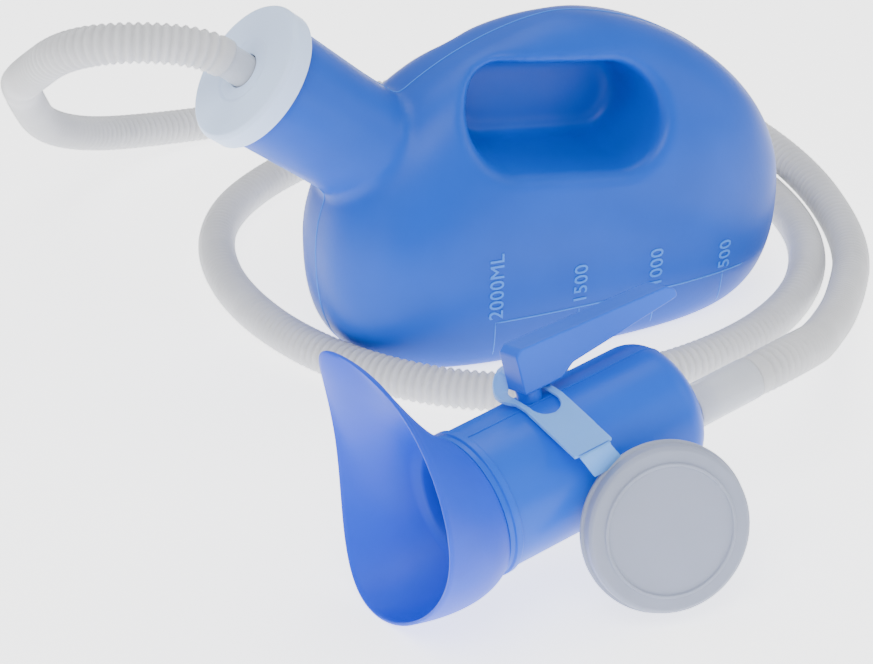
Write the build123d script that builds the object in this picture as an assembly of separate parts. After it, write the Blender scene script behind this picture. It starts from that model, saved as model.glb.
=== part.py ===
"""Two litre urine bottle with its cap, drain hose, hand-held receiver, funnel and lid.

Millimetres. The bottle stands on its flat base, centred on the origin, and its neck leans
towards -X. The receiver lies in front of it (-Y), and the hose joins the two.
"""
import math
import os

from build123d import *

os.makedirs("parts", exist_ok=True)


def save(shape, name):
    export_step(shape, "parts/" + name + ".step")
    print(name, round(shape.volume / 1000.0, 2), "cm3")


def sind(angle):
    return math.sin(math.radians(angle))


def cosd(angle):
    return math.cos(math.radians(angle))


# ---------------------------------------------------------------- bottle
bottle_height = 165.0
bottle_wall = 2.2
belly_height = 60.0        # the widest level
base_left = 88.0           # the flat base runs from -base_left to +base_right
base_right = 88.0
belly_left = 124.0
belly_right = 134.0
base_half_width = 40.0
belly_half_width = 56.0
crest_x = 7.0              # where the arched top is highest
plan_power = 2.9           # how square the bottle is in plan


def bottle_limits(z):
    """Left end, right end and half width of the outer form at height z."""
    if z < belly_height:
        swell = (1.0 - (1.0 - z / belly_height) ** 2.5) ** 0.4
        left = base_left + (belly_left - base_left) * swell
        right = base_right + (belly_right - base_right) * swell
        half = base_half_width + (belly_half_width - base_half_width) * swell
        return -left, right, half
    rise = (z - belly_height) / (bottle_height - belly_height)
    arch = (1.0 - rise * rise) ** 0.6
    left = crest_x - (belly_left + crest_x) * arch
    right = crest_x + (belly_right - crest_x) * arch
    half = belly_half_width * (1.0 - rise * rise) ** 0.5
    return left, right, half


def bottle_section(z, level, inset):
    """A closed superellipse of the form at z, drawn at the given level and inset."""
    left, right, half = bottle_limits(z)
    middle = (left + right) / 2.0
    reach = (right - left) / 2.0 - inset
    width = half - inset
    points = []
    for step in range(28):
        angle = 360.0 * (step + 0.5) / 28
        cosine = cosd(angle)
        sine = sind(angle)
        x = middle + math.copysign(abs(cosine) ** (2.0 / plan_power), cosine) * reach
        y = math.copysign(abs(sine) ** (2.0 / plan_power), sine) * width
        points.append((x, y))
    ring = Spline(*points, periodic=True)
    return Plane(origin=(0, 0, level)) * make_face(ring)


def bottle_form(inset):
    shares = [0.0, 0.02, 0.06, 0.13, 0.23, 0.36, 0.5, 0.62, 0.73, 0.82, 0.89, 0.94, 0.972]
    faces = []
    for share in shares:
        z = share * bottle_height
        level = inset + z * (bottle_height - 2.0 * inset) / bottle_height
        faces.append(bottle_section(z, level, inset))
    return loft(faces)


# neck: a slanted tube whose axis lies in the XZ plane
neck_slant = 38.0                       # above the horizontal
cap_face = (-160.4, 0.0, 161.3)         # centre of the cap's outer face
neck_outer = 30.6
neck_bore = 28.2
neck_start = 3.75                       # depth of the neck's lip below the cap's face
neck_length = 100.0
neck_out = (-cosd(neck_slant), 0.0, sind(neck_slant))
cap_plane = Plane(origin=cap_face, x_dir=(0, 1, 0), z_dir=neck_out)


def on_neck(shape, depth):
    """Place a shape built along +Z so that its foot is this far below the cap's face."""
    return cap_plane * Pos(0, 0, -depth) * shape


def tube_up(outer, inner, height):
    body = Cylinder(outer, height, align=(Align.CENTER, Align.CENTER, Align.MIN))
    if inner > 0:
        hole = Cylinder(inner, height + 2.0, align=(Align.CENTER, Align.CENTER, Align.MIN))
        body = body - Pos(0, 0, -1.0) * hole
    return body


# grip recess: a pocket pressed in from each side down to a thin web
grip_x = -4.0
grip_z = 123.0
grip_length = 96.0
grip_width = 44.0
grip_tilt = 7.0           # the tail end of the recess is lower
web_half = 1.4


def grip_pocket(side, grow):
    outline = SlotOverall(grip_length + 2.0 * grow, grip_width + 2.0 * grow)
    depth = 60.0
    block = extrude(outline, amount=depth)
    face = Plane(origin=(grip_x, side * (web_half - grow), grip_z), x_dir=(side, 0, 0),
                 z_dir=(0, side, 0))
    return face * Rot(0, 0, -side * grip_tilt) * block


outer_form = bottle_form(0.0)
neck_solid = on_neck(tube_up(neck_outer, 0, neck_length - neck_start), neck_length)
outside = outer_form + neck_solid
inner_form = bottle_form(bottle_wall)
for side in (1, -1):
    outside = outside - grip_pocket(side, 0.0)
    inner_form = inner_form - grip_pocket(side, bottle_wall)
inside = inner_form + on_neck(tube_up(neck_bore, 0, neck_length + 5.0 - 2.0), neck_length + 5.0)
bottle = outside - inside
thread_ring = on_neck(tube_up(32.2, neck_bore + 1.0, 1.6), 9.2)
bottle = bottle + thread_ring
save(bottle, "bottle_body")

# ---------------------------------------------------------------- cap and its liner
cap_radius = 36.0
cap_depth = 11.6
cap_skirt_bore = 33.0
cap_top = 2.6
hose_bore = 8.9            # hole in the middle of the cap

cap = on_neck(tube_up(cap_radius, 0, cap_depth), cap_depth)
cap_edges = cap.edges().filter_by(GeomType.CIRCLE)
cap = fillet(cap_edges.sort_by(Axis.Z)[-1], 2.0)
cap = cap - on_neck(tube_up(cap_skirt_bore, 0, cap_depth - cap_top + 1.0), cap_depth + 1.0)
cap = cap - on_neck(tube_up(hose_bore, 0, 8.0), 5.0)
save(cap, "screw_cap")

liner = on_neck(tube_up(32.4, 25.0, 1.05), neck_start - 0.05)
save(liner, "cap_liner")

# ---------------------------------------------------------------- hose and its cuffs
hose_outer = 10.0
hose_wall = 1.0
cuff_radius = 8.4
cuff_inside = 26.0          # of the cuff, below the cap's face
cuff_outside = 17.0


def along_neck(distance):
    return tuple(cap_face[i] + neck_out[i] * distance for i in range(3))


bottle_cuff = on_neck(tube_up(cuff_radius, 6.9, cuff_inside + cuff_outside), cuff_inside)
save(bottle_cuff, "hose_cuff_bottle_end")

# the receiver's frame: +X runs from its mouth to its nozzle
receiver_mouth = (-173.7, -253.9, 50.5)
receiver_turn = 10.0        # in plan
receiver_pitch = 8.0        # the nozzle end is higher
receiver_x = (cosd(receiver_turn) * cosd(receiver_pitch),
              sind(receiver_turn) * cosd(receiver_pitch), sind(receiver_pitch))
receiver_z = (-cosd(receiver_turn) * sind(receiver_pitch),
              -sind(receiver_turn) * sind(receiver_pitch), cosd(receiver_pitch))
receiver_plane = Plane(origin=receiver_mouth, x_dir=receiver_x, z_dir=receiver_z)
nozzle_drop = 9.0           # the nozzle sits below the barrel's axis
barrel_length = 114.0
nozzle_length = 23.0
cuff_start = 126.0          # distance of the cuff's mouth from the receiver's mouth
cuff_length = 36.0


def in_receiver(x, y, z):
    """World position of a point of the receiver's frame (y away from the front)."""
    spot = receiver_plane.from_local_coords(Vector(x, y, z))
    return (spot.X, spot.Y, spot.Z)


receiver_cuff = Rot(0, 90, 0) * tube_up(10.0, 8.55, cuff_length)
receiver_cuff = receiver_plane * Pos(cuff_start, 0, -nozzle_drop) * receiver_cuff
save(receiver_cuff, "hose_cuff_receiver_end")

# the hose leaves the cap, loops down to the floor behind the bottle, runs once round it
# and on to the receiver
floor_z = 10.0
route = [
    along_neck(12.0),
    along_neck(28.0),
    (-236.0, 25.0, 179.0),
    (-240.0, 88.0, 141.0),
    (-210.0, 185.0, 100.0),
    (-166.0, 266.0, 35.0),
    (-60.0, 307.0, floor_z),
    (87.0, 303.0, floor_z),
    (156.0, 257.0, floor_z),
    (188.0, 172.0, floor_z),
    (190.0, 73.0, floor_z),
    (163.0, -17.0, floor_z),
    (101.0, -83.0, floor_z),
    (12.0, -113.0, floor_z),
    (-74.0, -96.0, floor_z),
    (-128.0, -26.0, floor_z),
    (-141.0, 71.0, floor_z),
    (-114.0, 162.0, floor_z),
    (-48.0, 221.0, floor_z),
    (47.0, 243.0, 17.0),
    (135.0, 226.0, 33.0),
    (188.0, 159.0, 38.0),
    (207.0, 67.0, 23.0),
    (187.0, -19.0, floor_z),
    (128.0, -95.0, 18.0),
    (64.0, -166.0, 41.0),
    in_receiver(cuff_start + 70.0, 0.0, -nozzle_drop),
    in_receiver(cuff_start + cuff_length + 0.2, 0.0, -nozzle_drop),
]


def apart(p, q):
    return math.dist(p, q)


corners = len(route) - 2
radii = []
for i in range(1, corners + 1):
    before = apart(route[i - 1], route[i])
    after = apart(route[i], route[i + 1])
    dot = sum((route[i][k] - route[i - 1][k]) * (route[i + 1][k] - route[i][k]) for k in range(3))
    turn = math.acos(max(-1.0, min(1.0, dot / (before * after))))
    share_before = 0.9 if i == 1 else 0.45
    share_after = 0.9 if i == corners else 0.45
    radius = min(share_before * before, share_after * after) / math.tan(turn / 2.0)
    radii.append(radius)
    print("corner", i, "runs", round(before), round(after), "turn", round(math.degrees(turn)),
          "radius", round(radius))

path = FilletPolyline(*route, radius=radii)
pieces = []
for edge in path.edges():
    start = Plane(origin=edge @ 0, z_dir=edge % 0)
    pieces.append(sweep(start * (Circle(hose_outer) - Circle(hose_outer - hose_wall)), path=edge))
hose = Part() + pieces
ring_area = math.pi * (hose_outer ** 2 - (hose_outer - hose_wall) ** 2)
share = hose.volume / (ring_area * path.length)
print("hose length", round(path.length), "volume share", round(share, 3), "solids", len(hose.solids()))
save(hose, "hose")

# ---------------------------------------------------------------- receiver barrel
barrel_radius = 32.0
barrel_wall = 1.8
shoulder = 13.0
end_radius = 20.0


def ring_profile(points):
    """Revolve a closed (x, radius) outline about the local X axis."""
    face = make_face(Polyline(*[(x, r) for x, r in points], close=True))
    return revolve(Plane.XY * face, axis=Axis.X)


def shoulder_arc(radius_end, radius_barrel, x_start, x_end, count):
    rise = radius_barrel - radius_end
    run = x_end - x_start
    return [(x_start + run * sind(90.0 * k / count), radius_end + rise * cosd(90.0 * k / count))
            for k in range(count + 1)]


outer_line = [(0.0, 0.0), (0.0, barrel_radius), (2.5, barrel_radius), (3.0, 33.0), (6.0, 33.0),
              (6.5, barrel_radius)]
outer_line += shoulder_arc(end_radius, barrel_radius, barrel_length - shoulder, barrel_length, 8)
outer_line += [(barrel_length, 0.0)]
inner_line = [(-1.0, 0.0), (-1.0, barrel_radius - barrel_wall)]
inner_line += shoulder_arc(end_radius - barrel_wall, barrel_radius - barrel_wall,
                           barrel_length - shoulder, barrel_length - barrel_wall, 8)
inner_line += [(barrel_length - barrel_wall, 0.0)]
barrel = ring_profile(outer_line)
nozzle = Rot(0, 90, 0) * tube_up(8.5, 0, nozzle_length + 1.0)
barrel = barrel + Pos(barrel_length - 1.0, 0, -nozzle_drop) * nozzle
for k in range(3):
    ridge = Rot(0, 90, 0) * tube_up(9.3, 0, 1.2)
    barrel = barrel + Pos(barrel_length + 2.0 + 3.0 * k, 0, -nozzle_drop) * ridge
barrel = barrel - ring_profile(inner_line)
nozzle_bore = Rot(0, 90, 0) * tube_up(6.5, 0, nozzle_length + 10.0)
barrel = barrel - Pos(barrel_length - 5.0, 0, -nozzle_drop) * nozzle_bore
save(receiver_plane * barrel, "receiver_body")

# ---------------------------------------------------------------- receiver handle
handle_roll = -10.0         # leans away from the front about the barrel's axis
handle_half = 6.5
foot_bottom = 37.0
side_view = Plane(origin=(0, handle_half, 0), x_dir=(1, 0, 0), z_dir=(0, -1, 0))
hook = make_face(Polyline((39.0, foot_bottom), (38.5, 55.0), (41.0, 57.3), (121.0, 54.0),
                          (126.0, 51.0), (126.5, 47.2), (65.0, 41.0), (59.0, foot_bottom),
                          close=True))
handle = side_view * extrude(hook, amount=2.0 * handle_half)
stud = Pos(44.6, 0, 30.5) * Cylinder(5.6, foot_bottom - 30.0, align=(Align.CENTER, Align.CENTER, Align.MIN))
handle = handle + stud
handle = handle - Rot(0, 90, 0) * Pos(0, 0, -20) * tube_up(barrel_radius + 0.02, 0, 170.0)
handle = Rot(handle_roll, 0, 0) * handle
save(receiver_plane * handle, "receiver_handle")

# ---------------------------------------------------------------- strap
# the local y axis points away from the front, so the strap hangs towards -y
strap_thick = 1.6
fold_point = (44.0, -37.5, 24.3)
# the strap passes under the handle's foot, then its loose end turns up behind it
strap_line = [(fold_point[1] + 1.15, fold_point[2] + 0.33), (-4.8, 34.1), (6.0, 34.3),
              (13.9, 34.0), (21.0, 40.5)]
strap_centre = 44.0
ring_centre = 9.5


def strip(points, thick):
    """A bent strip of even thickness in the local YZ plane, as a face."""
    up = []
    down = []
    for i, (y, z) in enumerate(points):
        y0, z0 = points[max(i - 1, 0)]
        y1, z1 = points[min(i + 1, len(points) - 1)]
        size = math.hypot(y1 - y0, z1 - z0)
        ny = -(z1 - z0) / size
        nz = (y1 - y0) / size
        up.append((y + ny * thick / 2.0, z + nz * thick / 2.0))
        down.append((y - ny * thick / 2.0, z - nz * thick / 2.0))
    return make_face(Polyline(*(up + down[::-1]), close=True))


band_plane = Plane(origin=(strap_centre - 14.0, 0, 0), x_dir=(0, 1, 0), z_dir=(1, 0, 0))
band = band_plane * extrude(strip(strap_line, strap_thick), amount=28.0)
outline = Pos(strap_centre, ring_centre) * Circle(12.4)
outline = outline + Pos(strap_centre, (ring_centre - 38.0) / 2.0) * Rectangle(20.0, ring_centre + 38.0)
slot_long = 27.0
slot_wide = 14.4
slot_middle = 1.6
slot = Pos(strap_centre + 0.6, slot_middle) * Rot(0, 0, 90) * SlotOverall(slot_long, slot_wide)
stencil = extrude(outline - slot, amount=80.0)
strap = band & stencil
strap = receiver_plane * strap
save(strap, "lid_strap")

# ---------------------------------------------------------------- lid
lid_centre = (-98.8, -299.2, 43.0)
lid_normal = (-0.18, -0.95, 0.25)
size = math.sqrt(sum(c * c for c in lid_normal))
lid_normal = tuple(c / size for c in lid_normal)
flat = math.hypot(lid_normal[0], lid_normal[1])
lid_x = (-lid_normal[1] / flat, lid_normal[0] / flat, 0.0)
lid_plane = Plane(origin=lid_centre, x_dir=lid_x, z_dir=lid_normal)
lid_radius = 36.2
lid_depth = 9.0
lid_wall = 1.5
rim_radius = 37.6

lid = Pos(0, 0, -lid_depth) * tube_up(lid_radius, 0, lid_depth)
lid = lid + Pos(0, 0, -lid_depth) * tube_up(rim_radius, 0, 1.8)
lid = lid - Pos(0, 0, -lid_depth - 1.0) * tube_up(lid_radius - lid_wall, 0, lid_depth + 1.0 - lid_wall)
lid = lid + tube_up(29.2, 27.8, 0.9)
lid = lid_plane * lid

# the tab joins the lid's rim to a round knuckle on the fold line
fold_world = receiver_plane.from_local_coords(Vector(*fold_point))
knuckle_radius = 0.8
knuckle = Rot(0, 90, 0) * Cylinder(knuckle_radius, 16.0)
knuckle = receiver_plane * Pos(*fold_point) * knuckle
fold_in_lid = lid_plane.to_local_coords(fold_world)
tab_angle = math.degrees(math.atan2(fold_in_lid.Y, fold_in_lid.X))
tab_reach = math.hypot(fold_in_lid.X, fold_in_lid.Y)
print("fold in the lid's frame", round(fold_in_lid.X, 1), round(fold_in_lid.Y, 1), round(fold_in_lid.Z, 1))
rim_spot = lid_plane.from_local_coords(Vector(rim_radius * cosd(tab_angle) - cosd(tab_angle),
                                              rim_radius * sind(tab_angle) - sind(tab_angle),
                                              -lid_depth + 0.9))
tab_run = Vector(rim_spot.X, rim_spot.Y, rim_spot.Z) - fold_world
tab_half = 8.0
tab_thick = 1.5
fold_axis = Vector(*receiver_x)
tab_shift = fold_axis.dot(tab_run)
tab_drop = (tab_run - fold_axis * tab_shift).length
tab_plane = Plane(origin=fold_world, x_dir=fold_axis, z_dir=fold_axis.cross(tab_run))
tab_outline = make_face(Polyline((-tab_half, 0.0), (tab_half, 0.0), (tab_shift + tab_half, tab_drop),
                                 (tab_shift - tab_half, tab_drop), close=True))
tab = tab_plane * extrude(tab_outline, amount=tab_thick / 2.0, both=True)
lid = lid + tab + knuckle
save(lid, "lid_cup")

# ---------------------------------------------------------------- funnel
funnel_roll = -45.5
funnel_wall = 1.7
throat_outer = 29.6
throat_wall = 1.8
rim_offset = 26.1
rim_long = 59.8
rim_wide = 48.5
rim_pear = 0.56
rim_forward = 27.9
rim_slope = 0.195


def rim_wire(inset):
    """The pear-shaped rim as a closed curve on its own slanted plane."""
    points = []
    for step in range(20):
        angle = 360.0 * step / 20
        tall = (rim_long - inset) * cosd(angle)
        wide = (rim_wide - inset) * sind(angle) * (1.0 - rim_pear * cosd(angle))
        points.append((wide, tall * math.sqrt(1.0 + rim_slope ** 2)))
    return make_face(Spline(*points, periodic=True))


rim_plane = Plane(origin=(-rim_forward, 0, rim_offset), x_dir=(0, -1, 0), z_dir=(-1, 0, rim_slope))


def throat_face(x, radius):
    return Plane(origin=(x, 0, 0), x_dir=(0, -1, 0), z_dir=(-1, 0, 0)) * Circle(radius)


cup = loft([throat_face(-0.4, 32.4), rim_plane * rim_wire(0.0)])
hollow = loft([throat_face(0.8, 32.4 - 3.6), Pos(-1.2, 0, 0) * (rim_plane * rim_wire(funnel_wall))])
spigot = Rot(0, 90, 0) * tube_up(throat_outer, 0, 14.4)
funnel = cup + Pos(-0.4, 0, 0) * spigot
bore = Rot(0, 90, 0) * tube_up(throat_outer - throat_wall, 0, 30.0)
funnel = funnel - hollow - Pos(-0.4, 0, 0) * bore
funnel = Rot(funnel_roll, 0, 0) * funnel
funnel = receiver_plane * funnel
box = funnel.bounding_box()
print("funnel lowest", round(box.min.Z, 2), "x", round(box.min.X, 1), round(box.max.X, 1))
save(funnel, "funnel")
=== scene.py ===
"""Looks for the urine bottle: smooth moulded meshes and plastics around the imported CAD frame.

Metres, in the CAD frame: the bottle stands on the floor at the origin, its neck towards -X,
and the front is -Y. Helper sizes are given in millimetres where a name ends in _mm.
"""

import math

import bmesh
import bpy
import numpy as np
from mathutils import Matrix, Vector
from mathutils.bvhtree import BVHTree


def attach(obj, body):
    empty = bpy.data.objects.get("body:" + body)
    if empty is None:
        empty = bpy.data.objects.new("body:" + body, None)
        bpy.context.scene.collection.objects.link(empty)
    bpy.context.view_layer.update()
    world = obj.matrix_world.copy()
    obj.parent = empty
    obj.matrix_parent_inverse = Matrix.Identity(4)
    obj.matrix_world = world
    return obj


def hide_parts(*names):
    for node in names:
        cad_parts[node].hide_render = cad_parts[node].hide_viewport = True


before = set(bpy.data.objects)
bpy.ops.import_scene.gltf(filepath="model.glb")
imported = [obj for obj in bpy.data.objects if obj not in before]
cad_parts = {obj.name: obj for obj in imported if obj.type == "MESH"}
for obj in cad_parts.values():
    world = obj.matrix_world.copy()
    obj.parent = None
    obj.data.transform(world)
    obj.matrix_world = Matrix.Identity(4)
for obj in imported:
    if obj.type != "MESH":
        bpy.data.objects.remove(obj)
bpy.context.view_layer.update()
MM = 0.001


# ---------------------------------------------------------------- frames
def frame_matrix(origin_mm, x_axis, z_axis):
    """A matrix whose local axes are x_axis, z x x and z_axis, from millimetres to metres."""
    z = Vector(z_axis).normalized()
    x = Vector(x_axis)
    x = (x - z * x.dot(z)).normalized()
    y = z.cross(x)
    turn = Matrix((x, y, z)).transposed().to_4x4()
    return Matrix.Translation(Vector(origin_mm) * MM) @ turn @ Matrix.Scale(MM, 4)


neck_slant = math.radians(38.0)
neck_out = Vector((-math.cos(neck_slant), 0.0, math.sin(neck_slant)))
cap_face = Vector((-160.4, 0.0, 161.3))
neck_frame = frame_matrix(cap_face, (0, 1, 0), neck_out)

receiver_turn = math.radians(10.0)
receiver_pitch = math.radians(8.0)
receiver_x = Vector((math.cos(receiver_turn) * math.cos(receiver_pitch),
                     math.sin(receiver_turn) * math.cos(receiver_pitch), math.sin(receiver_pitch)))
receiver_z = Vector((-math.cos(receiver_turn) * math.sin(receiver_pitch),
                     -math.sin(receiver_turn) * math.sin(receiver_pitch), math.cos(receiver_pitch)))
receiver_frame = frame_matrix((-173.7, -253.9, 50.5), receiver_x, receiver_z)
# a lathe turns about local z, so this frame's z runs along the receiver
barrel_frame = receiver_frame @ Matrix(((0, 0, 1, 0), (0, 1, 0, 0), (-1, 0, 0, 0), (0, 0, 0, 1)))
nozzle_drop = 9.0
nozzle_frame = receiver_frame @ Matrix.Translation((0, 0, -nozzle_drop))
nozzle_frame = nozzle_frame @ Matrix(((0, 0, 1, 0), (0, 1, 0, 0), (-1, 0, 0, 0), (0, 0, 0, 1)))
lid_normal = Vector((-0.18, -0.95, 0.25)).normalized()
lid_frame = frame_matrix((-98.8, -299.2, 43.0), (0.98, -0.186, 0.0), lid_normal)


# ---------------------------------------------------------------- materials
def plastic(name, colour, rough=0.35, glow=0.0, glow_colour=None, grain=900.0, relief=0.05,
            mottle=0.05, clear=0.0, coat=0.0, waves=0.0):
    """Moulded plastic: mottled colour, uneven gloss and a fine moulded relief."""
    material = bpy.data.materials.new(name)
    material.use_nodes = True
    nodes = material.node_tree.nodes
    links = material.node_tree.links
    shader = nodes["Principled BSDF"]
    shader.inputs["IOR"].default_value = 1.5
    shader.inputs["Specular IOR Level"].default_value = 0.24
    shader.inputs["Coat Weight"].default_value = coat
    shader.inputs["Coat Roughness"].default_value = 0.25
    shader.inputs["Subsurface Weight"].default_value = glow
    shader.inputs["Subsurface Scale"].default_value = 0.006
    shader.inputs["Subsurface Radius"].default_value = glow_colour or (1.0, 1.0, 1.0)
    place = nodes.new("ShaderNodeTexCoord")

    cloud = nodes.new("ShaderNodeTexNoise")
    cloud.inputs["Scale"].default_value = 22.0
    cloud.inputs["Detail"].default_value = 4.0
    links.new(place.outputs["Object"], cloud.inputs["Vector"])
    tint = nodes.new("ShaderNodeValToRGB")
    dark = [c * (1.0 - mottle) for c in colour]
    light = [min(1.0, c * (1.0 + mottle) + mottle * 0.04) for c in colour]
    tint.color_ramp.elements[0].position = 0.3
    tint.color_ramp.elements[0].color = (*dark, 1.0)
    tint.color_ramp.elements[1].position = 0.7
    tint.color_ramp.elements[1].color = (*light, 1.0)
    links.new(cloud.outputs["Fac"], tint.inputs["Fac"])
    links.new(tint.outputs["Color"], shader.inputs["Base Color"])

    gloss = nodes.new("ShaderNodeMapRange")
    gloss.inputs["To Min"].default_value = rough - 0.06
    gloss.inputs["To Max"].default_value = rough + 0.08
    smear = nodes.new("ShaderNodeTexNoise")
    smear.inputs["Scale"].default_value = 60.0
    smear.inputs["Detail"].default_value = 5.0
    links.new(place.outputs["Object"], smear.inputs["Vector"])
    links.new(smear.outputs["Fac"], gloss.inputs["Value"])
    links.new(gloss.outputs["Result"], shader.inputs["Roughness"])

    skin = nodes.new("ShaderNodeTexNoise")
    skin.inputs["Scale"].default_value = grain
    skin.inputs["Detail"].default_value = 2.0
    links.new(place.outputs["Object"], skin.inputs["Vector"])
    bump = nodes.new("ShaderNodeBump")
    bump.inputs["Strength"].default_value = relief
    bump.inputs["Distance"].default_value = 0.0006
    links.new(skin.outputs["Fac"], bump.inputs["Height"])
    if waves > 0.0:
        swell = nodes.new("ShaderNodeTexNoise")
        swell.inputs["Scale"].default_value = 30.0
        swell.inputs["Detail"].default_value = 1.0
        links.new(place.outputs["Object"], swell.inputs["Vector"])
        dents = nodes.new("ShaderNodeBump")
        dents.inputs["Strength"].default_value = waves
        dents.inputs["Distance"].default_value = 0.002
        links.new(swell.outputs["Fac"], dents.inputs["Height"])
        links.new(dents.outputs["Normal"], bump.inputs["Normal"])
    links.new(bump.outputs["Normal"], shader.inputs["Normal"])
    if clear > 0.0:
        shader.inputs["Alpha"].default_value = 1.0 - clear
    return material


blue = (0.0, 0.068, 0.46)
bottle_plastic = plastic("bottle_plastic", blue, rough=0.38, glow=0.05, glow_colour=(0.1, 0.3, 1.0),
                         grain=700.0, relief=0.06, mottle=0.06, waves=0.06)
# raised marks are moulded in the bottle's own plastic; this lighter blue is a painted highlight on the
# digits, scale, parting line and neck lip
relief_painted_highlight_plastic = plastic("relief_painted_highlight_plastic", (0.03, 0.20, 0.72), rough=0.28, grain=900.0, mottle=0.05)
receiver_plastic = plastic("receiver_plastic", (0.0, 0.085, 0.60), rough=0.34, glow=0.06,
                           glow_colour=(0.1, 0.3, 1.0), grain=800.0, mottle=0.05)
funnel_plastic = plastic("funnel_plastic", (0.004, 0.055, 0.60), rough=0.42, glow=0.18,
                         glow_colour=(0.15, 0.3, 1.0), grain=700.0, mottle=0.06, waves=0.05)
cap_plastic = plastic("cap_plastic", (0.56, 0.70, 0.98), rough=0.34, glow=0.2,
                      glow_colour=(0.8, 0.9, 1.0), grain=900.0, mottle=0.02)
liner_foam = plastic("liner_foam", (0.85, 0.86, 0.86), rough=0.7, grain=2500.0, relief=0.5)
hose_plastic = plastic("hose_plastic", (0.62, 0.625, 0.645), rough=0.3, glow=0.35, clear=0.16,
                       grain=1200.0, relief=0.04, mottle=0.05)
cuff_plastic = plastic("cuff_plastic", (0.64, 0.67, 0.73), rough=0.28, glow=0.3, clear=0.32,
                       grain=900.0, mottle=0.04)
strap_plastic = plastic("strap_plastic", (0.14, 0.40, 0.92), rough=0.34, glow=0.25, clear=0.24,
                        grain=900.0, mottle=0.04)
lid_plastic = plastic("lid_plastic", (0.29, 0.32, 0.41), rough=0.36, glow=0.3, clear=0.06,
                      grain=800.0, mottle=0.04)


# ---------------------------------------------------------------- mesh helpers
def add_mesh(name, points, faces, material, smooth=True):
    """A shown mesh from points in metres."""
    mesh = bpy.data.meshes.new(name)
    mesh.from_pydata([tuple(p) for p in points], [], [tuple(int(i) for i in f) for f in faces])
    mesh.update()
    if smooth:
        mesh.shade_smooth()
    piece = bpy.data.objects.new(name, mesh)
    bpy.context.scene.collection.objects.link(piece)
    mesh.materials.append(material)
    return piece


def outward(piece):
    """Turn the faces of a closed mesh outwards."""
    work = bmesh.new()
    work.from_mesh(piece.data)
    bmesh.ops.recalc_face_normals(work, faces=work.faces)
    work.to_mesh(piece.data)
    work.free()
    return piece


def softened(corners, radii, steps=5, close=True):
    """A 2-D outline with its corners rounded."""
    line = []
    count = len(corners)
    for i, corner in enumerate(corners):
        here = np.array(corner, float)
        radius = radii[i] if hasattr(radii, "__len__") else radii
        last = i in (0, count - 1) and not close
        if radius <= 0 or last:
            line.append(tuple(here))
            continue
        before = np.array(corners[i - 1], float) - here
        after = np.array(corners[(i + 1) % count], float) - here
        reach = min(np.linalg.norm(before), np.linalg.norm(after)) * 0.48
        before /= np.linalg.norm(before)
        after /= np.linalg.norm(after)
        half = math.acos(max(-1.0, min(1.0, float(before @ after)))) / 2.0
        away = min(radius / max(math.tan(half), 1e-6), reach)
        start = here + before * away
        end = here + after * away
        for k in range(steps + 1):
            t = k / steps
            line.append(tuple(start * (1 - t) ** 2 + here * 2 * t * (1 - t) + end * t * t))
    return line


def lathe(name, outline_mm, matrix, material, segments=128, grip=None):
    """Revolve a closed (height, radius) outline about local z. grip(angle, z, r) may shift r."""
    points = []
    count = len(outline_mm)
    for k in range(segments):
        angle = 2.0 * math.pi * k / segments
        for z, r in outline_mm:
            radius = r + (grip(angle, z, r) if grip else 0.0)
            points.append(matrix @ Vector((radius * math.cos(angle), radius * math.sin(angle), z)))
    faces = []
    for k in range(segments):
        n = (k + 1) % segments
        for i in range(count):
            j = (i + 1) % count
            faces.append((k * count + i, k * count + j, n * count + j, n * count + i))
    piece = add_mesh(name, points, faces, material)
    soften_shading(piece)
    return outward(piece)


def soften_shading(piece, angle=40.0):
    """Smooth faces, with flat shading kept across corners sharper than the angle."""
    piece.data.shade_smooth()
    piece.data.set_sharp_from_angle(angle=math.radians(angle))


def bead(name, line, radius_mm, material, cyclic=False, sides=8):
    """A thin raised moulding line along points in metres."""
    points = [Vector(p) for p in line]
    count = len(points)
    rings = []
    for i, p in enumerate(points):
        a = points[(i - 1) % count] if cyclic else points[max(i - 1, 0)]
        b = points[(i + 1) % count] if cyclic else points[min(i + 1, count - 1)]
        run = (b - a).normalized()
        side = run.cross(Vector((0, 0, 1)) if abs(run.z) < 0.9 else Vector((0, 1, 0))).normalized()
        up = side.cross(run)
        shrink = 1.0 if cyclic or 0 < i < count - 1 else 0.3
        for k in range(sides):
            angle = 2.0 * math.pi * k / sides
            rings.append(p + (side * math.cos(angle) + up * math.sin(angle)) * radius_mm * MM * shrink)
    faces = []
    for i in range(count if cyclic else count - 1):
        j = (i + 1) % count
        for k in range(sides):
            n = (k + 1) % sides
            faces.append((i * sides + k, i * sides + n, j * sides + n, j * sides + k))
    if not cyclic:
        faces.append(tuple(range(sides))[::-1])
        faces.append(tuple(range((count - 1) * sides, count * sides)))
    return outward(add_mesh(name, rings, faces, material))


def mount_piece(piece, body, slot, *nodes):
    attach(piece, body)
    if nodes:
        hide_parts(*nodes)
    return piece


# ---------------------------------------------------------------- bottle
bottle_height = 165.0
belly_height = 60.0
crest_x = 7.0
plan_power = 2.9


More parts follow.
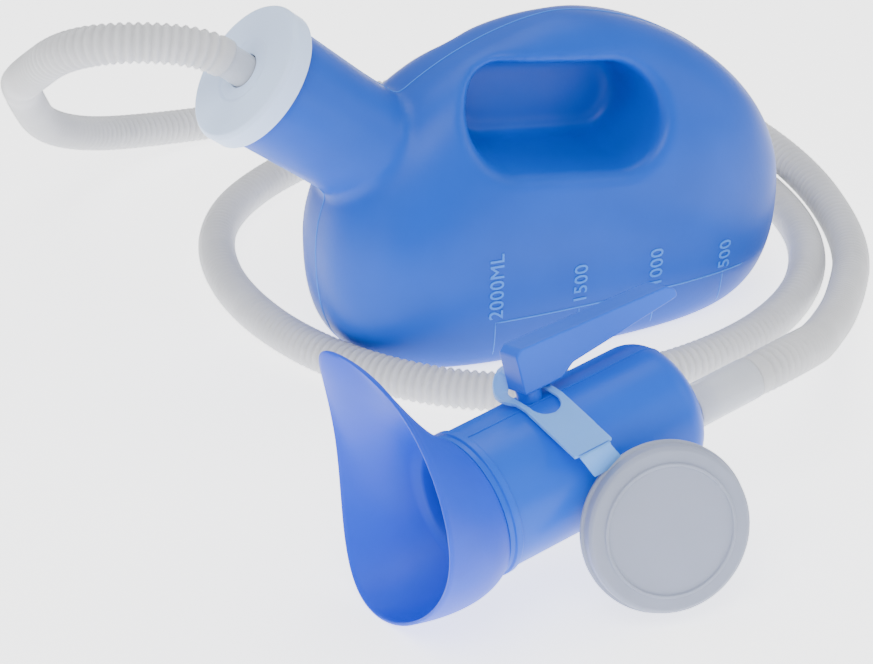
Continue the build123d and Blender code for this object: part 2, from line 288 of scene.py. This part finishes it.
def inside_body(x, y, z):
    """True where a point in millimetres lies inside the bottle's body, without its neck."""
    low = np.clip(z / belly_height, 0.0, 1.0)
    swell = (1.0 - (1.0 - low) ** 2.5) ** 0.4
    left_low = 88.0 + 36.0 * swell
    right_low = 88.0 + 46.0 * swell
    half_low = 40.0 + 16.0 * swell
    rise = np.clip((z - belly_height) / (bottle_height - belly_height), 0.0, 1.0)
    round_off = np.clip(1.0 - rise * rise, 1e-6, 1.0)
    arch = round_off ** 0.6
    upper = z >= belly_height
    left = np.where(upper, crest_x - 131.0 * arch, -left_low)
    right = np.where(upper, crest_x + 127.0 * arch, right_low)
    half = np.where(upper, 56.0 * round_off ** 0.5, half_low)
    reach = np.maximum((right - left) / 2.0, 1e-3)
    across = np.abs(x - (left + right) / 2.0) / reach
    deep = np.abs(y) / np.maximum(half, 1e-3)
    return (across ** plan_power + deep ** plan_power < 1.0) & (z > 0.0) & (z < bottle_height)


def blend_min(a, b, width):
    """Union of two distances with a fillet about width wide."""
    h = np.clip(0.5 + 0.5 * (b - a) / width, 0.0, 1.0)
    return b + (a - b) * h - width * h * (1.0 - h)


def blend_max(a, b, width):
    return -blend_min(-a, -b, width)


def body_distance(x, y, z):
    """Signed distance, roughly, to the body, found by halving along rays from its middle."""
    centre = np.array((5.0, 0.0, 62.0), np.float32)
    dx = x - centre[0]
    dy = y - centre[1]
    dz = z - centre[2]
    size = np.sqrt(dx * dx + dy * dy + dz * dz) + 1e-3
    low = np.full(x.shape, 10.0, np.float32)
    high = np.full(x.shape, 190.0, np.float32)
    for _ in range(13):
        middle = (low + high) / 2.0
        scale = middle / size
        inner = inside_body(centre[0] + dx * scale, dy * scale, centre[2] + dz * scale)
        low = np.where(inner, middle, low)
        high = np.where(inner, high, middle)
    return size - (low + high) / 2.0


def bottle_field(x, y, z):
    """Signed distance to the bottle: body, neck, the two grip recesses and the neck's bore."""
    body = body_distance(x, y, z)
    gx, gy, gz = np.gradient(body, x[:, 0, 0], y[0, :, 0], z[0, 0, :])
    body = body / np.clip(np.sqrt(gx * gx + gy * gy + gz * gz), 0.6, 2.5)
    out = np.array(neck_out)
    rx = x - cap_face[0]
    rz = z - cap_face[2]
    along = rx * out[0] + rz * out[2]
    side = rx * -out[2] + rz * out[0]
    radial = np.sqrt(side * side + y * y)
    depth = -along
    neck_radius = 31.2 - 1.6 * np.clip((depth - 12.0) / 45.0, 0.0, 1.0)
    neck_radius = np.where(depth < 14.0, 30.6, neck_radius)
    neck = np.maximum(radial - neck_radius, np.maximum(along + 3.75, depth - 96.0))
    solid = blend_min(body, neck, 4.5)
    tilt = math.radians(7.0)
    u = (x + 5.0) * math.cos(tilt) - (z - 124.0) * math.sin(tilt)
    w = (x + 5.0) * math.sin(tilt) + (z - 124.0) * math.cos(tilt)
    apart = np.abs(y)
    # the recess widens from the web out to the bottle's side
    open_up = np.clip((apart - 8.0) / 36.0, 0.0, 1.0)
    end = 21.0 + 4.5 * open_up
    straight = 27.0 + 1.0 * open_up
    slot = np.sqrt(np.maximum(np.abs(u) - straight, 0.0) ** 2 + w * w) - end
    pocket = blend_max(slot, 1.4 - apart, 9.0)
    solid = blend_max(solid, -pocket, 8.0)
    bore = np.maximum(radial - 26.0, depth - 40.0)
    return np.maximum(solid, -bore)


def surface_net(field, xs, ys, zs):
    """Quads through a field's zero level, one point in each cell that it crosses."""
    inside = field < 0.0
    shape = tuple(n - 1 for n in field.shape)
    total = np.zeros(shape + (3,), np.float32)
    hits = np.zeros(shape, np.float32)
    steps = np.array((xs[1] - xs[0], ys[1] - ys[0], zs[1] - zs[0]))
    corners = [(i, j, k) for i in (0, 1) for j in (0, 1) for k in (0, 1)]

    def pick(array, c):
        return array[c[0]:shape[0] + c[0], c[1]:shape[1] + c[1], c[2]:shape[2] + c[2]]

    for a in corners:
        for axis in range(3):
            if a[axis]:
                continue
            b = tuple(a[i] + (i == axis) for i in range(3))
            fa = pick(field, a)
            fb = pick(field, b)
            cross = pick(inside, a) != pick(inside, b)
            share = np.where(cross, fa / np.where(cross, fa - fb, 1.0), 0.0)
            for i in range(3):
                total[..., i] += np.where(cross, a[i] + (share if i == axis else 0.0), 0.0)
            hits += cross
    used = hits > 0
    number = np.full(shape, -1, np.int64)
    number[used] = np.arange(int(used.sum()))
    cell = np.argwhere(used)
    points = (cell + total[used] / hits[used][:, None]) * steps + np.array((xs[0], ys[0], zs[0]))
    quads = []
    for axis in range(3):
        p, q = [i for i in range(3) if i != axis]
        lo = [slice(1, n - 1) for n in field.shape]
        lo[axis] = slice(0, field.shape[axis] - 1)
        hi = list(lo)
        hi[axis] = slice(1, field.shape[axis])
        first = inside[tuple(lo)]
        second = inside[tuple(hi)]
        place = np.argwhere(first != second) + np.array([0 if i == axis else 1 for i in range(3)])
        turned = first[first != second]

        def at(dp, dq):
            spot = place.copy()
            spot[:, p] -= dp
            spot[:, q] -= dq
            return number[spot[:, 0], spot[:, 1], spot[:, 2]]

        ring = np.stack((at(1, 1), at(0, 1), at(0, 0), at(1, 0)), 1)
        flip = turned if axis != 1 else ~turned
        ring[~flip] = ring[~flip][:, ::-1]
        quads.append(ring)
    return points, np.concatenate(quads)


def relax(points, quads, rounds):
    """Even out the net without shrinking it: a smoothing step and a slightly larger step back."""
    count = len(points)
    pairs = np.concatenate([quads[:, [i, (i + 1) % 4]] for i in range(4)])
    pairs = np.concatenate((pairs, pairs[:, ::-1]))
    degree = np.bincount(pairs[:, 0], minlength=count)[:, None]
    for k in range(rounds * 2):
        mean = np.stack([np.bincount(pairs[:, 0], weights=points[pairs[:, 1], i], minlength=count)
                         for i in range(3)], 1) / degree
        points = points + (mean - points) * (0.55 if k % 2 == 0 else -0.57)
    return points


def make_bottle():
    cell = 1.6
    xs = np.arange(-186.0, 142.0, cell, np.float32)
    ys = np.arange(-62.0, 62.0 + cell, cell, np.float32)
    zs = np.arange(-6.0, 192.0, cell, np.float32)
    x, y, z = np.meshgrid(xs, ys, zs, indexing="ij")
    field = bottle_field(x, y, z)
    points, quads = surface_net(field, xs, ys, zs)
    points = relax(points, quads, 6)
    points[:, 2] = np.maximum(points[:, 2], 0.0)
    return add_mesh("bottle_shell", points * MM, quads, bottle_plastic)


bottle = mount_piece(make_bottle(), "bottle", "bottle_blue", "bottle_body")
bottle_tree = BVHTree.FromPolygons([v.co for v in bottle.data.vertices],
                                   [tuple(p.vertices) for p in bottle.data.polygons])


def on_front(x_mm, z_mm, lift_mm=0.0):
    """The point of the bottle's front (-Y) side at x and z, lifted off it."""
    hit, normal, _, _ = bottle_tree.ray_cast(Vector((x_mm, -200.0, z_mm)) * MM, Vector((0, 1, 0)))
    if normal.y > 0:
        normal = -normal
    return hit + normal * lift_mm * MM


def sampled(start, end, step_mm=2.5):
    count = max(2, int(math.dist(start, end) / step_mm))
    return [tuple(start[i] + (end[i] - start[i]) * k / count for i in range(2)) for k in range(count + 1)]


scale_height = 27.5
scale_marks = {"2000ML": -51.0, "1500": -4.5, "1000": 39.5, "500": 83.0}
scale_pieces = []
scale_line = [on_front(x, z) for x, z in sampled((-51.0, scale_height), (98.0, scale_height))]
scale_pieces.append(bead("scale_line", scale_line, 0.45, relief_painted_highlight_plastic))
for label, x in scale_marks.items():
    tick = [on_front(px, pz) for px, pz in sampled((x, scale_height), (x + 1.0, 8.0), 2.0)]
    scale_pieces.append(bead("scale_tick_" + label, tick, 0.32, relief_painted_highlight_plastic))


def raised_label(label, x_mm):
    """Moulded digits that read upwards, with their tops towards -X, laid on the front side."""
    font = bpy.data.curves.new("label", "FONT")
    font.body = label
    font.size = 10.5
    font.extrude = 0.28
    font.bevel_depth = 0.1
    font.resolution_u = 4
    font.space_character = 1.05
    holder = bpy.data.objects.new("label", font)
    bpy.context.scene.collection.objects.link(holder)
    bpy.context.view_layer.update()
    mesh = bpy.data.meshes.new_from_object(holder.evaluated_get(bpy.context.evaluated_depsgraph_get()))
    bpy.data.objects.remove(holder)
    for v in mesh.vertices:
        u, w, t = v.co
        v.co = on_front(x_mm - w, scale_height + 2.0 + u, t + 0.12)
    mesh.shade_smooth()
    mesh.set_sharp_from_angle(angle=math.radians(35))
    mesh.materials.clear()
    mesh.materials.append(relief_painted_highlight_plastic)
    piece = bpy.data.objects.new("scale_number_" + label, mesh)
    bpy.context.scene.collection.objects.link(piece)
    return piece


for label, x in scale_marks.items():
    scale_pieces.append(raised_label(label, x + 3.5))
for piece in scale_pieces:
    mount_piece(piece, "bottle", "bottle_blue")


def parting_line():
    """The mould's parting line: where the bottle's surface crosses its middle plane."""
    work = bmesh.new()
    work.from_mesh(bottle.data)
    cut = bmesh.ops.bisect_plane(work, geom=work.verts[:] + work.edges[:] + work.faces[:],
                                 plane_co=(0, 0, 0), plane_no=(0, 1, 0))["geom_cut"]
    links = {}
    for edge in [e for e in cut if isinstance(e, bmesh.types.BMEdge)]:
        a, b = (v.co.copy().freeze() for v in edge.verts)
        links.setdefault(a, []).append(b)
        links.setdefault(b, []).append(a)
    work.free()
    above = {p for p in links if p.z > 0.012 and (p - cap_face * MM).dot(neck_out) < -0.014}
    runs = []
    while above:
        end = next((p for p in above if sum(q in above for q in links[p]) < 2), next(iter(above)))
        run = [end]
        above.discard(end)
        while True:
            step = [q for q in links[run[-1]] if q in above]
            if not step:
                break
            run.append(step[0])
            above.discard(step[0])
        runs.append(run)
    return [run for run in runs if len(run) > 20]


def outer_only(line):
    """Keep a run only if it lies on the outside, not in the neck's bore."""
    middle = line[len(line) // 2] - cap_face * MM
    reach = (middle - neck_out * middle.dot(neck_out)).length
    return not (middle.dot(neck_out) > -0.075 and reach < 0.029)


for i, run in enumerate(parting_line()):
    if outer_only(run):
        mount_piece(bead("bottle_parting_line_%d" % i, run[::2], 0.32, relief_painted_highlight_plastic, sides=6),
                    "bottle", "bottle_blue")

# neck lip ring under the cap, standing in for the thread's start
neck_thread = softened([(-9.2, 30.0), (-9.2, 32.2), (-7.6, 32.2), (-7.6, 30.0)], 0.5)
mount_piece(lathe("neck_thread", neck_thread, neck_frame, relief_painted_highlight_plastic), "bottle", "bottle_blue")

# ---------------------------------------------------------------- cap and liner
cap_outline = softened([(0.0, 8.9), (0.0, 15.5), (0.45, 17.0), (0.0, 34.4), (-2.2, 36.0), (-11.0, 35.9),
                        (-11.6, 35.3), (-11.6, 33.0), (-2.6, 33.0), (-2.6, 8.9)],
                       [0.6, 2.0, 2.0, 1.6, 2.4, 0.6, 0.4, 0.4, 1.0, 0.4], steps=6)
cap_outline = [(z - 0.45, r) for z, r in cap_outline]
mount_piece(lathe("cap_shell", cap_outline, neck_frame, cap_plastic, 160), "cap", "cap_white", "screw_cap")
liner_outline = softened([(-2.7, 25.0), (-2.7, 32.4), (-3.65, 32.4), (-3.65, 25.0)], 0.3)
mount_piece(lathe("liner_ring", liner_outline, neck_frame, liner_foam), "liner", "liner_foam", "cap_liner")

# ---------------------------------------------------------------- hose
def along_neck(distance):
    return tuple(cap_face + neck_out * distance)


def in_receiver(x, y, z):
    return tuple((receiver_frame @ Vector((x, y, z))) / MM)


floor_z = 10.0
cuff_start = 126.0
cuff_length = 36.0
route_mm = [
    along_neck(12.0),
    along_neck(28.0),
    (-236.0, 25.0, 179.0),
    (-240.0, 88.0, 141.0),
    (-210.0, 185.0, 100.0),
    (-166.0, 266.0, 35.0),
    (-60.0, 307.0, floor_z),
    (87.0, 303.0, floor_z),
    (156.0, 257.0, floor_z),
    (188.0, 172.0, floor_z),
    (190.0, 73.0, floor_z),
    (163.0, -17.0, floor_z),
    (101.0, -83.0, floor_z),
    (12.0, -113.0, floor_z),
    (-74.0, -96.0, floor_z),
    (-128.0, -26.0, floor_z),
    (-141.0, 71.0, floor_z),
    (-114.0, 162.0, floor_z),
    (-48.0, 221.0, floor_z),
    (47.0, 243.0, 17.0),
    (135.0, 226.0, 33.0),
    (188.0, 159.0, 38.0),
    (207.0, 67.0, 23.0),
    (187.0, -19.0, floor_z),
    (128.0, -95.0, 18.0),
    (64.0, -166.0, 41.0),
    in_receiver(cuff_start + 70.0, 0.0, -nozzle_drop),
    in_receiver(cuff_start + cuff_length + 0.2, 0.0, -nozzle_drop),
]


def spline_points(route):
    """Points along the NURBS curve that has the route as its control points, in metres."""
    curve = bpy.data.curves.new("hose_route", "CURVE")
    curve.dimensions = "3D"
    spline = curve.splines.new("NURBS")
    spline.points.add(len(route) - 1)
    for point, place in zip(spline.points, route):
        point.co = (*(c * MM for c in place), 1.0)
    spline.order_u = 3
    spline.use_endpoint_u = True
    spline.resolution_u = 40
    holder = bpy.data.objects.new("hose_route", curve)
    bpy.context.scene.collection.objects.link(holder)
    bpy.context.view_layer.update()
    mesh = bpy.data.meshes.new_from_object(holder.evaluated_get(bpy.context.evaluated_depsgraph_get()))
    line = np.array([v.co for v in mesh.vertices], float)
    bpy.data.objects.remove(holder)
    return line


def evenly(line, step):
    """The same line as points that are an even step apart, and its length."""
    runs = np.linalg.norm(np.diff(line, axis=0), axis=1)
    at = np.r_[0.0, np.cumsum(runs)]
    count = max(2, int(round(at[-1] / step)))
    where = np.linspace(0.0, at[-1], count + 1)
    return np.stack([np.interp(where, at, line[:, i]) for i in range(3)], 1), at[-1]


def tube(name, line, radii, material, sides=28, wall=None):
    """A tube along a line whose radius follows radii. With a wall it is open at both ends."""
    run = np.gradient(line, axis=0)
    run /= np.linalg.norm(run, axis=1)[:, None]
    side = np.cross(run[0], (0.0, 0.0, 1.0))
    side /= np.linalg.norm(side)
    frames = []
    for t in run:
        side = side - t * (side @ t)
        side /= np.linalg.norm(side)
        frames.append((side, np.cross(t, side)))
    angles = np.linspace(0.0, 2.0 * math.pi, sides, endpoint=False)

    def ring(i, radius):
        a, b = frames[i]
        return line[i] + radius * (np.cos(angles)[:, None] * a + np.sin(angles)[:, None] * b)

    rings = [ring(i, radii[i]) for i in range(len(line))]
    if wall:
        for i in range(len(line) - 1, -1, -5):
            rings.append(ring(i, min(radii) - wall))
        if i != 0:
            rings.append(ring(0, min(radii) - wall))
    count = len(rings)
    faces = []
    for i in range(count if wall else count - 1):
        j = (i + 1) % count
        for k in range(sides):
            n = (k + 1) % sides
            faces.append((i * sides + k, i * sides + n, j * sides + n, j * sides + k))
    return outward(add_mesh(name, np.concatenate(rings), faces, material))


hose_line, hose_length = evenly(spline_points(route_mm), (0.85) * MM)
rib_pitch = 4.2 * MM
hose_at = np.linspace(0.0, hose_length, len(hose_line))
rib = 0.5 + 0.5 * np.cos(2.0 * math.pi * hose_at / rib_pitch)
plain = np.clip((hose_at - 3.0 * MM) / (4.0 * MM), 0.0, 1.0)
plain *= np.clip((hose_length - 3.0 * MM - hose_at) / (4.0 * MM), 0.0, 1.0)
hose_radii = (10.0 - 1.5 * (1.0 - rib ** 0.8) * plain - 0.4 * (1.0 - plain)) * MM
hose = tube("hose_corrugated", hose_line, hose_radii, hose_plastic, 26, wall=0.5 * MM)
mount_piece(hose, "bottle", "hose_clear", "hose")

bottle_cuff = softened([(-26.0, 6.9), (-26.0, 8.4), (14.6, 8.4), (17.0, 8.0), (17.0, 6.9)],
                       [0.3, 0.5, 1.5, 0.6, 0.3])
mount_piece(lathe("bottle_cuff", bottle_cuff, neck_frame, cuff_plastic, 64), "bottle", "cuff_clear",
            "hose_cuff_bottle_end")
receiver_cuff = softened([(cuff_start, 8.65), (cuff_start, 9.7), (cuff_start + 1.2, 10.0),
                          (cuff_start + 18.0, 9.9), (cuff_start + 34.0, 9.9), (cuff_start + 36.0, 9.7),
                          (cuff_start + 36.0, 8.65)], [0.3, 0.4, 0.6, 3.0, 1.0, 0.3, 0.3])
cuff = lathe("receiver_cuff", receiver_cuff, nozzle_frame, cuff_plastic, 64)
mount_piece(cuff, "bottle", "cuff_clear", "hose_cuff_receiver_end")

# ---------------------------------------------------------------- receiver
barrel_length = 114.0
shoulder_line = [(101.0 + 13.0 * math.sin(t), 20.0 + 12.0 * math.cos(t))
                 for t in np.linspace(0.0, math.pi / 2, 16)]
inner_shoulder = [(101.0 + 11.2 * math.sin(t), 18.2 + 12.0 * math.cos(t))
                  for t in np.linspace(math.pi / 2, 0.0, 12)]
barrel_outline = softened([(0.0, 30.2), (0.0, 32.0), (2.5, 32.0), (3.0, 33.0), (6.0, 33.0), (6.6, 32.0)],
                          [0.3, 0.5, 0.4, 0.5, 0.6, 0.5], close=True)
barrel_outline = barrel_outline + shoulder_line + [(114.0, 0.02), (112.2, 0.02)] + inner_shoulder
barrel = lathe("receiver_barrel", barrel_outline, barrel_frame, receiver_plastic, 160)
mount_piece(barrel, "receiver", "receiver_blue", "receiver_body")
nozzle_line = [(112.5, 6.5), (112.5, 9.6), (114.4, 9.2), (115.2, 8.5)]
for k in range(4):
    start = 116.4 + 2.7 * k
    nozzle_line += [(start, 8.5), (start + 0.5, 9.25), (start + 1.2, 9.25), (start + 1.7, 8.5)]
nozzle_line += [(135.0, 8.5), (137.0, 8.1), (137.0, 6.5)]
nozzle = lathe("receiver_nozzle", softened(nozzle_line, 0.35, steps=3), nozzle_frame, receiver_plastic, 72)
mount_piece(nozzle, "receiver", "receiver_blue")
for name, turn in (("top", 90.0), ("bottom", -90.0)):
    angle = math.radians(turn)
    seam = [(x, 32.0) for x in np.linspace(7.0, 101.0, 24)] + shoulder_line[1:-1]
    line = [receiver_frame @ Vector((x, r * math.cos(angle), r * math.sin(angle))) for x, r in seam]
    mount_piece(bead("receiver_parting_line_" + name, line, 0.35, receiver_plastic), "receiver",
                "receiver_blue")


def prism(name, outline_mm, low, high, matrix, material, bevel_mm):
    """Extrude a local XZ outline along local Y and round its long edges."""
    count = len(outline_mm)
    points = [matrix @ Vector((x, low, z)) for x, z in outline_mm]
    points += [matrix @ Vector((x, high, z)) for x, z in outline_mm]
    faces = [tuple(range(count)), tuple(range(2 * count - 1, count - 1, -1))]
    for i in range(count):
        j = (i + 1) % count
        faces.append((i, i + count, j + count, j))
    piece = outward(add_mesh(name, points, faces, material))
    edge = piece.modifiers.new("edge", "BEVEL")
    edge.width = bevel_mm * MM
    edge.segments = 4
    edge.limit_method = "ANGLE"
    edge.angle_limit = math.radians(50)
    edge.harden_normals = False
    soften_shading(piece, 60.0)
    return piece


handle_frame = receiver_frame @ Matrix.Rotation(math.radians(-10.0), 4, "X")
hook = softened([(39.0, 37.0), (38.5, 55.0), (41.5, 57.4), (121.0, 54.0), (126.0, 51.2), (126.5, 47.2),
                 (66.0, 41.2), (59.0, 37.0)], [1.0, 2.5, 3.0, 3.0, 3.0, 2.0, 5.0, 3.0], steps=5)
handle = prism("handle_hook", hook, -6.5, 6.5, handle_frame, receiver_plastic, 1.5)
mount_piece(handle, "receiver", "receiver_blue", "receiver_handle")
stud_frame = handle_frame @ Matrix.Translation((44.6, 0, 0))
stud = softened([(31.0, 0.02), (31.0, 5.6), (37.5, 5.6), (37.5, 0.02)], [0, 0.5, 0.3, 0], steps=3)
mount_piece(lathe("handle_stud", stud, stud_frame, receiver_plastic, 48), "receiver", "receiver_blue")

# ---------------------------------------------------------------- strap
strap_line = [(-36.3, 24.7), (-20.5, 29.3), (-4.8, 34.0), (1.0, 34.3), (7.0, 34.3), (13.4, 34.1), (16.4, 36.3), (21.4, 40.6)]
ring_y = 9.5


def strap_point(x, y, lift):
    """A point of the bent strap at local x and y, lifted off its middle surface."""
    ys = [p[0] for p in strap_line]
    zs = [p[1] for p in strap_line]
    z = float(np.interp(y, ys, zs))
    slope = (np.interp(y + 1.5, ys, zs) - np.interp(y - 1.5, ys, zs)) / 3.0
    size = math.hypot(1.0, slope)
    return receiver_frame @ Vector((x, y - slope / size * lift, z + lift / size))


def strap_half(y):
    """Half the strap's width at local y: a band that ends in a round ring."""
    if y < ring_y - 7.3:
        return 10.0
    return max(10.0 if y < ring_y else 0.0, math.sqrt(max(12.4 ** 2 - (y - ring_y) ** 2, 0.0)))


def strap_slot(y):
    """Half the slot's width at local y."""
    middle = 1.6
    straight = 6.3
    past = max(abs(y - middle) - straight, 0.0)
    return math.sqrt(max(7.2 ** 2 - past * past, 0.0)) if past < 7.2 else 0.0


def make_strap():
    """Two long halves around the slot, joined where the slot ends, with raised edges."""
    rows = np.concatenate((np.linspace(-36.3, -12.2, 14), np.linspace(-11.8, 15.0, 54),
                           np.linspace(15.3, 21.85, 16)))
    across = 10
    centre = 44.0
    points = []
    for top in (1, -1):
        for y in rows:
            half = strap_half(y)
            slot = min(strap_slot(y), half - 0.4)
            for sign in (-1, 1):
                for k in range(across + 1):
                    t = k / across
                    x = slot + (half - slot) * t
                    edge = max(0.0, 1.0 - abs(half - x) / 1.5)
                    lip = 0.45 * edge if top > 0 else 0.0
                    rounded = 0.25 if k in (0, across) and slot > 0 or k == across else 0.0
                    step = 0.3 if y < -27.0 and top > 0 else 0.0
                    points.append(strap_point(centre + sign * x, y, top * (0.8 - rounded) + lip - step))
    width = 2 * (across + 1)
    layer = len(rows) * width
    faces = []
    for i in range(len(rows) - 1):
        for s in (0, across + 1):
            for k in range(across):
                a = i * width + s + k
                for base in (0, layer):
                    faces.append((base + a, base + a + 1, base + a + 1 + width, base + a + width))
            for k in (0, across):
                a = i * width + s + k
                if k == across or strap_slot((rows[i] + rows[i + 1]) / 2.0) > 0:
                    faces.append((a, a + width, layer + a + width, layer + a))
    for i in (0, len(rows) - 1):
        for s in (0, across + 1):
            for k in range(across):
                a = i * width + s + k
                faces.append((a, a + 1, layer + a + 1, layer + a))
    piece = add_mesh("strap_band", points, faces, strap_plastic)
    work = bmesh.new()
    work.from_mesh(piece.data)
    bmesh.ops.remove_doubles(work, verts=work.verts, dist=0.02 * MM)
    bmesh.ops.recalc_face_normals(work, faces=work.faces)
    work.to_mesh(piece.data)
    work.free()
    soften_shading(piece, 50.0)
    return piece


mount_piece(make_strap(), "receiver", "strap_clear", "lid_strap")

# ---------------------------------------------------------------- lid
lid_outline = softened([(0.0, 0.02), (0.0, 26.9), (0.0, 27.6), (0.95, 28.0), (0.95, 29.0), (0.0, 29.4),
                        (0.0, 34.6), (-1.6, 36.2), (-6.6, 36.3), (-7.2, 37.6), (-9.0, 37.6),
                        (-9.0, 34.7), (-1.5, 34.3), (-1.5, 0.02)],
                       [0, 0.3, 0.3, 0.35, 0.35, 0.4, 1.8, 1.6, 0.5, 0.6, 0.4, 0.4, 0.8, 0], steps=5)
lid = lathe("lid_shell", lid_outline, lid_frame, lid_plastic, 160)
mount_piece(lid, "lid", "lid_clear", "lid_cup")

fold = receiver_frame @ Vector((44.0, -37.5, 24.3))
fold_in_lid = lid_frame.inverted() @ fold
tab_angle = math.atan2(fold_in_lid.y, fold_in_lid.x)
rim_spot = lid_frame @ Vector((36.4 * math.cos(tab_angle), 36.4 * math.sin(tab_angle), -8.1))
tab_run = rim_spot - fold
tab_shift = tab_run.dot(receiver_x)
tab_drop = tab_run - receiver_x * tab_shift
tab_frame = frame_matrix(fold / MM, receiver_x, tab_drop)
tab_outline = [(-8.0, 0.3), (8.0, 0.3), (tab_shift / MM + 8.4, tab_drop.length / MM),
               (tab_shift / MM - 8.4, tab_drop.length / MM)]
tab = prism("lid_tab", tab_outline, -0.75, 0.75, tab_frame, strap_plastic, 0.3)
mount_piece(tab, "lid", "strap_clear")
knuckle_frame = frame_matrix(fold / MM, (0, 0, 1), receiver_x)
knuckle = softened([(-8.0, 0.02), (-8.0, 0.8), (8.0, 0.8), (8.0, 0.02)], [0, 0.3, 0.3, 0], steps=3)
mount_piece(lathe("lid_hinge", knuckle, knuckle_frame, strap_plastic, 24), "lid", "strap_clear")

# ---------------------------------------------------------------- funnel
funnel_frame = receiver_frame @ Matrix.Rotation(math.radians(-45.5), 4, "X")
funnel_wall = 1.7


def rim_spot_of(q):
    """Point of the funnel's saddle-shaped rim: local x, side and height at angle q."""
    back = -27.9 + 11.7 * math.cos(q) - 1.0 * math.cos(2 * q) - 2.3 * math.cos(3 * q)
    tall = 26.1 + 59.8 * math.cos(q)
    side = 48.3 * math.sin(q) * (1.0 - 0.56 * math.cos(q))
    return np.array((back, -side, tall))


def make_funnel():
    segments = 144
    steps = 26
    outer = np.zeros((segments, steps + 1, 3))
    for k in range(segments):
        q = 2.0 * math.pi * k / segments
        rim = rim_spot_of(q)
        around = np.array((0.0, -math.sin(q), math.cos(q)))
        foot = np.array((0.0, 0.0, 0.0)) + around * 32.3
        reach = np.linalg.norm(rim - foot)
        elbow = foot + np.array((-0.36, 0.0, 0.0)) * reach + around * 0.24 * reach
        for i in range(steps + 1):
            t = i / steps
            outer[k, i] = foot * (1 - t) ** 2 + elbow * 2 * t * (1 - t) + rim * t * t
    along = np.gradient(outer, axis=1)
    about = (np.roll(outer, -1, 0) - np.roll(outer, 1, 0)) / 2.0
    normal = np.cross(along, about)
    normal /= np.linalg.norm(normal, axis=2)[..., None]
    middle = outer.mean((0, 1))
    if (normal * (outer - middle)).sum() < 0:
        normal = -normal
    inner = outer - normal * funnel_wall
    tip = outer[:, -1] - normal[:, -1] * funnel_wall / 2
    tangent = along[:, -1] / np.linalg.norm(along[:, -1], axis=1)[:, None]
    points = []
    for k in range(segments):
        q = 2.0 * math.pi * k / segments
        around = np.array((0.0, -math.sin(q), math.cos(q)))
        line = [np.array((13.8, 0, 0)) + around * 28.0, np.array((14.0, 0, 0)) + around * 29.4,
                np.array((0.0, 0, 0)) + around * 29.6, np.array((-0.35, 0, 0)) + around * 32.0]
        line += list(outer[k, 1:])
        line.append(outer[k, -1] + tangent[k] * 0.45 - normal[k, -1] * 0.3)
        line.append(tip[k] + tangent[k] * 0.65)
        line.append(inner[k, -1] + tangent[k] * 0.45 + normal[k, -1] * 0.3)
        line += list(inner[k, :0:-1])
        line.append(np.array((-0.6, 0, 0)) + around * 29.3)
        line.append(np.array((0.6, 0, 0)) + around * 27.9)
        points += [funnel_frame @ Vector(p) for p in line]
    count = len(line)
    faces = []
    for k in range(segments):
        n = (k + 1) % segments
        for i in range(count):
            j = (i + 1) % count
            faces.append((k * count + i, k * count + j, n * count + j, n * count + i))
    piece = outward(add_mesh("funnel_shell", points, faces, funnel_plastic))
    soften_shading(piece, 50.0)
    print("funnel lowest, mm", round(min(p.z for p in points) / MM, 2))
    return piece


mount_piece(make_funnel(), "funnel", "funnel_violet_blue", "funnel")


# ---------------------------------------------------------------- stage, light, camera
def stage():
    bpy.ops.mesh.primitive_plane_add(size=12.0, location=(0, 0, 0))
    floor = bpy.context.object
    floor.name = "stage_floor"
    white = bpy.data.materials.new("stage_white")
    white.use_nodes = True
    shader = white.node_tree.nodes["Principled BSDF"]
    shader.inputs["Base Color"].default_value = (0.93, 0.93, 0.93, 1.0)
    shader.inputs["Roughness"].default_value = 0.9
    shader.inputs["Specular IOR Level"].default_value = 0.1
    shader.inputs["Emission Color"].default_value = (1.0, 1.0, 1.0, 1.0)
    shader.inputs["Emission Strength"].default_value = 2.2
    floor.data.materials.append(white)


def light(name, place, target, size, power):
    lamp = bpy.data.lights.new(name, "AREA")
    lamp.shape = "RECTANGLE"
    lamp.size = size[0]
    lamp.size_y = size[1]
    lamp.energy = power
    holder = bpy.data.objects.new(name, lamp)
    holder.location = place
    holder.rotation_euler = (Vector(target) - Vector(place)).to_track_quat("-Z", "Y").to_euler()
    bpy.context.scene.collection.objects.link(holder)


stage()
world = bpy.data.worlds.new("studio")
world.use_nodes = True
world.node_tree.nodes["Background"].inputs["Color"].default_value = (0.97, 0.98, 1.0, 1.0)
world.node_tree.nodes["Background"].inputs["Strength"].default_value = 0.85
bpy.context.scene.world = world
light("key", (-0.9, -1.1, 1.7), (0, -0.05, 0.05), (1.2, 1.2), 26.0)
light("fill", (1.3, -1.0, 0.9), (0, -0.1, 0.05), (1.4, 1.0), 8.0)
light("top", (0.1, 0.5, 1.8), (0, 0.0, 0.05), (1.6, 1.0), 14.0)

camera_target = Vector((-46.9, 19.57, -8.27)) * MM
camera_azimuth = math.radians(-27.0)
camera_elevation = math.radians(25.0)
camera_distance = 1560.0 * MM
toward = Vector((math.sin(camera_azimuth) * math.cos(camera_elevation),
                 -math.cos(camera_azimuth) * math.cos(camera_elevation), math.sin(camera_elevation)))
lens = bpy.data.cameras.new("camera")
lens.sensor_width = 36.0
lens.lens = 123.7
camera = bpy.data.objects.new("camera", lens)
camera.location = camera_target + toward * camera_distance
camera.rotation_euler = (-toward).to_track_quat("-Z", "Y").to_euler()
bpy.context.scene.collection.objects.link(camera)
bpy.context.scene.camera = camera
